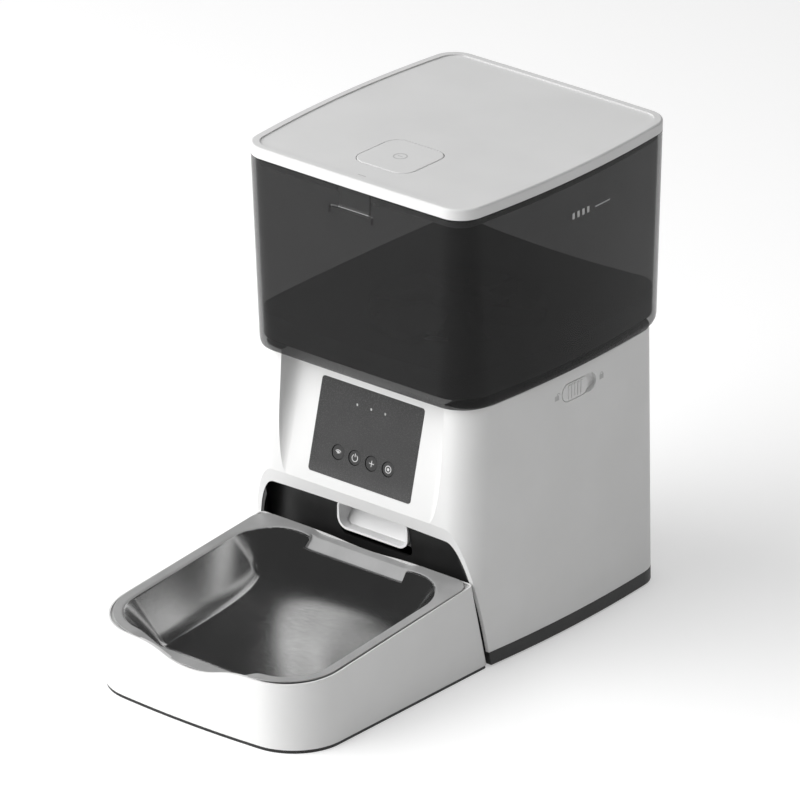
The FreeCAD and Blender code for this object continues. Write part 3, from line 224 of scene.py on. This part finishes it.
def make_materials():
    white = body_white()
    return {
        "white_abs": white,
        "lid_white": lid_white(),
        "dark_abs": trim_dark(),
        "dark_liner": liner_dark(),
        "dark_floor": hopper_dark(),
        "smoke_tank": tank_smoke(),
        "panel_black": panel_gloss(),
        "key_black": key_dark(),
        "light_pipe": light_lens(),
        "bowl_steel": brushed_steel("bowl_steel_sheet", (0.17, 0.25), 0.006),
        "rubber_black": rubber(),
        "silicone": silicone(),
        "chute": chute_painted_light(),
        "bowl_rim": rim_painted_sheen(),
        "board_green": circuit_green(),
        "motor_steel": brushed_steel("motor_can", (0.25, 0.35), 0.01),
        "screw_steel": brushed_steel("screw_zinc", (0.3, 0.4), 0.02),
        "spring_steel": brushed_steel("spring_strip", (0.2, 0.3), 0.01),
        "gear_nylon": nylon(),
        "contact_metal": brushed_steel("contact_nickel", (0.2, 0.3), 0.02),
        "cell_sleeve": cell_wrap(),
        "bag_paper": bag_paper(),
    }


def dress_nodes(materials):
    slots = {part["node"]: part["material_slot"] for part in frame["record"]["subparts"]}
    for node, obj in frame["nodes"].items():
        material = materials[slots[node]]
        # Painted shade: the stirrer and wiper take the dark hopper-floor colour instead of their own slot, so
        # they read as dark as the shaded inside of the tank.
        if node in ("stirrer", "portion_wiper"):
            material = materials["dark_floor"]
        # The food chute takes the brightened chute colour: painted light.
        if node == "food_chute":
            material = materials["chute"]
        for slot in obj.material_slots:
            slot.material = material


# ---------------------------------------------------------------- mesh helpers
def new_piece(name, verts, faces, body, material, smooth=True):
    mesh = bpy.data.meshes.new(name)
    mesh.from_pydata([tuple(v) for v in verts], [], faces)
    mesh.update()
    mesh.materials.append(material)
    for face in mesh.polygons:
        face.use_smooth = smooth
    piece = bpy.data.objects.new(name, mesh)
    bpy.context.scene.collection.objects.link(piece)
    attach(piece, body)
    return piece


def thicken(piece, thickness):
    modifier = piece.modifiers.new("thickness", "SOLIDIFY")
    modifier.thickness = thickness
    modifier.offset = -1.0


def grid_faces(rows, columns, wrap=False):
    faces = []
    last = columns if wrap else columns - 1
    for i in range(rows - 1):
        for j in range(last):
            k = (j + 1) % columns
            faces.append((i * columns + j, i * columns + k, (i + 1) * columns + k, (i + 1) * columns + j))
    return faces


def ring_patch(radius, width, start=0.0, stop=360.0, steps=48):
    """Flat ring or arc in its own plane: rows of (across, up) points."""
    inner, outer = [], []
    for i in range(steps + 1):
        turn = math.radians(start + (stop - start) * i / steps)
        inner.append(((radius - width / 2) * math.cos(turn), (radius - width / 2) * math.sin(turn)))
        outer.append(((radius + width / 2) * math.cos(turn), (radius + width / 2) * math.sin(turn)))
    return [outer, inner]


def bar_patch(x0, y0, x1, y1, steps=8):
    """Flat bar from x0,y0 to x1,y1, cut into short lengths so that it can follow a curved wall."""
    rows = []
    for y in (y0, y1):
        rows.append([(x0 + (x1 - x0) * i / steps, y) for i in range(steps + 1)])
    return rows


def print_marks(name, patches, place, body, material):
    """Thin raised print: every patch point goes onto the surface by place(across, up)."""
    verts, faces = [], []
    for rows in patches:
        first = len(verts)
        columns = len(rows[0])
        for row in rows:
            verts.extend(place(a * MM, b * MM) for a, b in row)
        for face in grid_faces(len(rows), columns):
            faces.append(tuple(first + i for i in face))
    piece = new_piece(name, verts, faces, body, material, smooth=False)
    thicken(piece, PRINT_T * MM)
    return piece


def cast(node, origin, direction, lift=0.06):
    """Point on a CAD node seen from origin along direction, lifted off it a little."""
    hit, place, normal, _ = frame["nodes"][node].ray_cast(Vector(origin), Vector(direction))
    if not hit:
        raise RuntimeError("no surface of " + node + " at " + str(tuple(origin)))
    return place - Vector(direction) * lift * MM


# ---------------------------------------------------------------- printed and raised marks
def key_front(node):
    """Front middle of a key and its plane's up direction, from its box and the fascia's lean."""
    low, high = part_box(node)
    sine, cosine = math.sin(FASCIA_LEAN), math.cos(FASCIA_LEAN)
    normal = Vector((0, -cosine, sine))
    up = Vector((0, sine, cosine))
    length = ((high.y - low.y) - (high.x - low.x) * sine) / cosine
    middle = (low + high) / 2
    return middle + normal * (length / 2), up, normal


def key_symbols():
    wave = [ring_patch(r, 0.45, 45, 135, 16) for r in (1.2, 2.1, 3.0)]
    return {
        1: [[[(a, b - 1.5) for a, b in row] for row in patch] for patch in wave] + [ring_patch(0.35, 0.6)],
        2: [ring_patch(2.2, 0.5, 120, 420, 32), bar_patch(-0.25, 0.6, 0.25, 2.9)],
        3: [bar_patch(-2.0, -0.25, 2.0, 0.25), bar_patch(-0.25, 0.25, 0.25, 2.0),
            bar_patch(-0.25, -2.0, 0.25, -0.25)],
        4: [ring_patch(2.2, 0.5), ring_patch(0.5, 0.9)],
    }


def make_key_marks(material):
    for number, patches in key_symbols().items():
        node = "control_key_%d" % number
        middle, up, normal = key_front(node)

        def place(a, b, node=node, middle=middle, up=up, normal=normal):
            return cast(node, middle + Vector((a, 0, 0)) + up * b + normal * 0.02, -normal, 0.03)

        body = "key_%d" % number
        print_marks("key_mark_%d" % number, patches, place, body, material)


def side_marks(name, node, patches, y, z, body, material):
    def place(a, b):
        return cast(node, (0.3, y * MM + a, z * MM + b), (-1, 0, 0))

    return print_marks(name, patches, place, body, material)


def padlock(open_shackle):
    shift = 1.6 if open_shackle else 0.0
    shackle = [[(a + shift, b + 1.0) for a, b in row] for row in ring_patch(1.3, 0.5, 0, 180, 20)]
    return [bar_patch(-2.0, -2.2, 2.0, 1.0), shackle]


def make_tank_marks(material):
    side_marks("level_tick", "hopper_tank", [bar_patch(-7.5, -0.35, 7.5, 0.35)], 105.5, 279, "tank",
               material)
    bars = [bar_patch(x, -2.0, x + 2.2, 2.0, 3) for x in (-9.6, -4.8, 0.0, 4.8)]
    side_marks("level_bars", "hopper_tank", bars, 85, 279.5, "tank", material)


def make_lock_marks(material):
    side_marks("mark_unlocked", "body_shell", padlock(True), 64.5, 161, "housing", material)
    side_marks("mark_locked", "body_shell", padlock(False), 108.8, 161, "housing", material)


def make_lid_marks(material):
    low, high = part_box("lid_button")
    middle = (low + high) / 2

    def on_button(a, b):
        return cast("lid_button", (middle.x + a, middle.y + b, FAR), (0, 0, -1))

    def on_lid(a, b):
        return cast("lid_shell", (1.4 * MM + a, -13.9 * MM + b, FAR), (0, 0, -1))

    emblem = [ring_patch(4.2, 0.8), bar_patch(-1.8, -0.4, 1.8, 0.4)]
    print_marks("button_emblem", emblem, on_button, "push", material)
    print_marks("lid_dash", [bar_patch(-3.0, -0.4, 3.0, 0.4)], on_lid, "lid", material)


# ---------------------------------------------------------------- button spring
def make_spring(material):
    """The leaf spring under the lid button, a rigid copy carried with the lid."""
    spring = bpy.data.objects.new("spring_leaf", frame["nodes"]["button_spring"].data.copy())
    bpy.context.scene.collection.objects.link(spring)
    for slot in spring.material_slots:
        slot.material = material
    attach(spring, "lid")
    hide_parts("button_spring")
    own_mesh(spring)


# ---------------------------------------------------------------- steel bowl
# In mm. Along the rim plane, v runs from the tray's rear edge (0) forwards (negative), u is to the
# right of the tray's middle, and heights are square to the plane.
RIM_LEAN = math.radians(5.0)
EDGE_IN = 1.5              # the sheet's edge, inside the tray's rim
RIM_HALF = 87.0
RIM_FRONT = -170.6
RIM_BOW = 4.4
RIM_FRONT_R = 36.7
RIM_REAR_R = 13.0
BASIN_HALF = 78.7
BASIN_BACK = -9.0
BASIN_FRONT = -160.0
BASIN_R = 30.0
TONGUE_HALF = 40.0
STRIP_REAR = -6.5          # the tongue's strip slopes down between these two
STRIP_FRONT = -13.5
STRIP_DROP = 6.0
FACE_DROP = 13.3
FLOOR_DEPTH = 29.0
FLOOR_START = -8.0         # where the floor starts to fall away
FLOOR_FALL = 22.0          # and how quickly it levels out
FRONT_RUN = 28.0           # length of the curved front wall
WALL_SLOPE = 1.2
FRONT_DIP = 7.0
REAR_DIP = 2.0
FACE_RUN = 0.8             # the tongue's front face leans this much
SHEET_T = 0.9


def ease(value, low, high):
    t = min(1.0, max(0.0, (value - low) / (high - low)))
    return t * t * (3 - 2 * t)


def smooth_max(a, b, r):
    h = max(r - abs(a - b), 0.0) / r
    return max(a, b) + h * h * r / 4


def inset_in(u, v, half, back, front, r):
    """Distance inwards from a round-cornered rectangle's edge, negative outside."""
    du = abs(u) - (half - r)
    dv = abs(v - (back + front) / 2) - ((back - front) / 2 - r)
    return r - math.hypot(max(du, 0.0), max(dv, 0.0)) - min(max(du, dv), 0.0)


def basin_floor(v):
    """Floor that falls away from the rear, meeting a front wall shaped as a quarter ellipse."""
    depth = -FLOOR_DEPTH * (1 - math.exp(min(0.0, v - FLOOR_START) / FLOOR_FALL))
    run = min(FRONT_RUN, max(0.0, v - BASIN_FRONT))
    front = -FLOOR_DEPTH * math.sqrt(max(0.0, 1 - (1 - run / FRONT_RUN) ** 2))
    return smooth_max(depth, front, 9.0)


def basin_height(u, v):
    inside = inset_in(u, v, BASIN_HALF, BASIN_BACK, BASIN_FRONT, BASIN_R)
    lip = -0.5 * ease(inside, -0.9, 0.2)
    if inside <= 0:
        return lip
    return lip + min(0.0, smooth_max(basin_floor(v), -WALL_SLOPE * inside, 7.0))


def tongue_height(v):
    """The strip under the chute, then its front face."""
    strip = -STRIP_DROP * min(1.0, max(0.0, (STRIP_REAR - v) / (STRIP_REAR - STRIP_FRONT)))
    return strip - FACE_DROP * ease(-v, -STRIP_FRONT, FACE_RUN - STRIP_FRONT)


def bowl_height(u, v):
    """Flange with its front dip and rear dip, the basin, and the tongue let into the basin's rear."""
    level = basin_height(u, v)
    side = ease(abs(u), 30.0, 52.0)
    level -= FRONT_DIP * (1 - side) * ease(-v, 138.0, 162.0)
    level -= REAR_DIP * (1 - ease(abs(u), 34.0, 46.0)) * (1 - ease(-v, 6.0, 26.0))
    across = 1 - ease(abs(u), TONGUE_HALF - 1.2, TONGUE_HALF + 0.4)
    if v > STRIP_REAR:
        return level
    if v > STRIP_FRONT - FACE_RUN:
        return level + (tongue_height(v) - REAR_DIP - level) * across
    return level


def row_half(v, inset):
    """Half width of the sheet at v."""
    front_r = RIM_FRONT_R - inset
    rear_r = RIM_REAR_R - inset
    half = RIM_HALF - inset
    front = RIM_FRONT + inset + RIM_BOW
    if v > -inset - rear_r:
        return half - rear_r + math.sqrt(max(0.0, rear_r ** 2 - (v + inset + rear_r) ** 2))
    if v < front + front_r:
        return half - front_r + math.sqrt(max(0.0, front_r ** 2 - (front + front_r - v) ** 2))
    return half


def row_places(count):
    """Rows from 0 to 1, closer together at both ends."""
    return [0.5 - 0.5 * math.cos(math.pi * i / (count - 1)) for i in range(count)]


def bow_in(u, v):
    """The front edge bows forwards in the middle."""
    return RIM_BOW * (1 - min(1.0, abs(u) / 70.0) ** 2) * ease(-v, 120.0, 166.2)


def make_bowl(material, rim_material):
    low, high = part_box("steel_bowl")
    middle_x = (low.x + high.x) / 2 / MM
    rear_y = high.y / MM + EDGE_IN * math.cos(RIM_LEAN)
    rim_z = high.z / MM + EDGE_IN * math.sin(RIM_LEAN)
    back = -EDGE_IN
    front = RIM_FRONT + EDGE_IN + RIM_BOW
    rows, columns = ((380, 301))
    verts, flat = [], []
    for t in row_places(rows):
        row_v = back + (front - back) * t
        half = row_half(row_v, EDGE_IN)
        for j in range(columns):
            u = half * (2 * j / (columns - 1) - 1)
            v = row_v - bow_in(u, row_v)
            w = bowl_height(u, v) - 0.02
            y = rear_y + v * math.cos(RIM_LEAN) - w * math.sin(RIM_LEAN)
            z = rim_z + v * math.sin(RIM_LEAN) + w * math.cos(RIM_LEAN)
            verts.append(Vector((middle_x + u, y, z)) * MM)
            flat.append((u, v))
    piece = new_piece("bowl_sheet", verts, grid_faces(rows, columns), "bowl", material)
    piece.data.materials.append(rim_material)
    # Faces on the flange and on the tongue's strip take the painted sheen material (index 1).
    for face in piece.data.polygons:
        u, v = flat[face.vertices[0]]
        on_flange = inset_in(u, v, BASIN_HALF, BASIN_BACK, BASIN_FRONT, BASIN_R) < -0.4
        on_strip = abs(u) < TONGUE_HALF and v > STRIP_FRONT
        face.material_index = 1 if on_flange or on_strip else 0
    thicken(piece, SHEET_T * MM)
    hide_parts("steel_bowl")
    return piece


# ---------------------------------------------------------------- camera, floor and light
def aim(obj, target):
    """Turns an object so that its -Z looks at the target."""
    obj.rotation_mode = "QUATERNION"
    obj.rotation_quaternion = (Vector(target) - obj.location).to_track_quat("-Z", "Y")


def make_camera():
    azimuth, elevation, distance = math.radians(39.97), math.radians(24.0), 5.959
    target = Vector((-0.0219, 0.0502, 0.1315))
    back = Vector((
        math.sin(azimuth) * math.cos(elevation),
        -math.cos(azimuth) * math.cos(elevation),
        math.sin(elevation),
    ))
    data = bpy.data.cameras.new("camera")
    data.lens = 428.7
    data.sensor_width = 36.0
    data.clip_start, data.clip_end = 0.1, 100.0
    camera = bpy.data.objects.new("camera", data)
    bpy.context.scene.collection.objects.link(camera)
    camera.location = target + back * distance
    aim(camera, target)
    bpy.context.scene.camera = camera


def area_light(name, place, target, width, height, power, mirrored=False):
    """Soft panel; only a mirrored one shows up in glossy surfaces."""
    data = bpy.data.lights.new(name, "AREA")
    data.shape = "RECTANGLE"
    data.size, data.size_y = width, height
    data.energy = power
    lamp = bpy.data.objects.new(name, data)
    bpy.context.scene.collection.objects.link(lamp)
    lamp.location = place
    lamp.visible_glossy = mirrored
    aim(lamp, target)


def make_floor():
    half = 9.0
    corners = [(-half, -half, 0), (half, -half, 0), (half, half, 0), (-half, half, 0)]
    mesh = bpy.data.meshes.new("floor")
    mesh.from_pydata(corners, [], [(0, 1, 2, 3)])
    floor = bpy.data.objects.new("floor", mesh)
    bpy.context.scene.collection.objects.link(floor)
    material, nodes, _ = new_material("floor")
    shader = nodes["Principled BSDF"]
    shader.inputs["Base Color"].default_value = (0.72, 0.72, 0.72, 1)
    shader.inputs["Roughness"].default_value = 0.9
    shader.inputs["Specular IOR Level"].default_value = 0.0
    shader.inputs["Emission Color"].default_value = (1, 1, 1, 1)
    shader.inputs["Emission Strength"].default_value = 0.38
    mesh.materials.append(material)


def make_world():
    world = bpy.data.worlds.new("studio")
    world.use_nodes = True
    world.node_tree.nodes["Background"].inputs["Color"].default_value = (1, 1, 1, 1)
    world.node_tree.nodes["Background"].inputs["Strength"].default_value = 0.05
    bpy.context.scene.world = world


materials = make_materials()
dress_nodes(materials)
light_mark = mark_light()
grey_mark = mark_grey()
make_key_marks(light_mark)
make_tank_marks(grey_mark)
make_lock_marks(grey_mark)
make_lid_marks(grey_mark)
make_spring(materials["spring_steel"])
make_bowl(materials["bowl_steel"], materials["bowl_rim"])

make_world()
make_floor()
make_camera()
area_light("key", (-1.3, -1.5, 1.2), (0, 0, 0.15), 3.0, 2.4, 96)
area_light("overhead", (0, 0, 2.2), (0, 0, 0.15), 3.0, 3.0, 22)
area_light("highlight", (0.75, 0.35, 1.5), (0, 0, 0.1), 0.5, 0.5, 2.2, mirrored=True)
bpy.context.scene.view_settings.view_transform = "Standard"
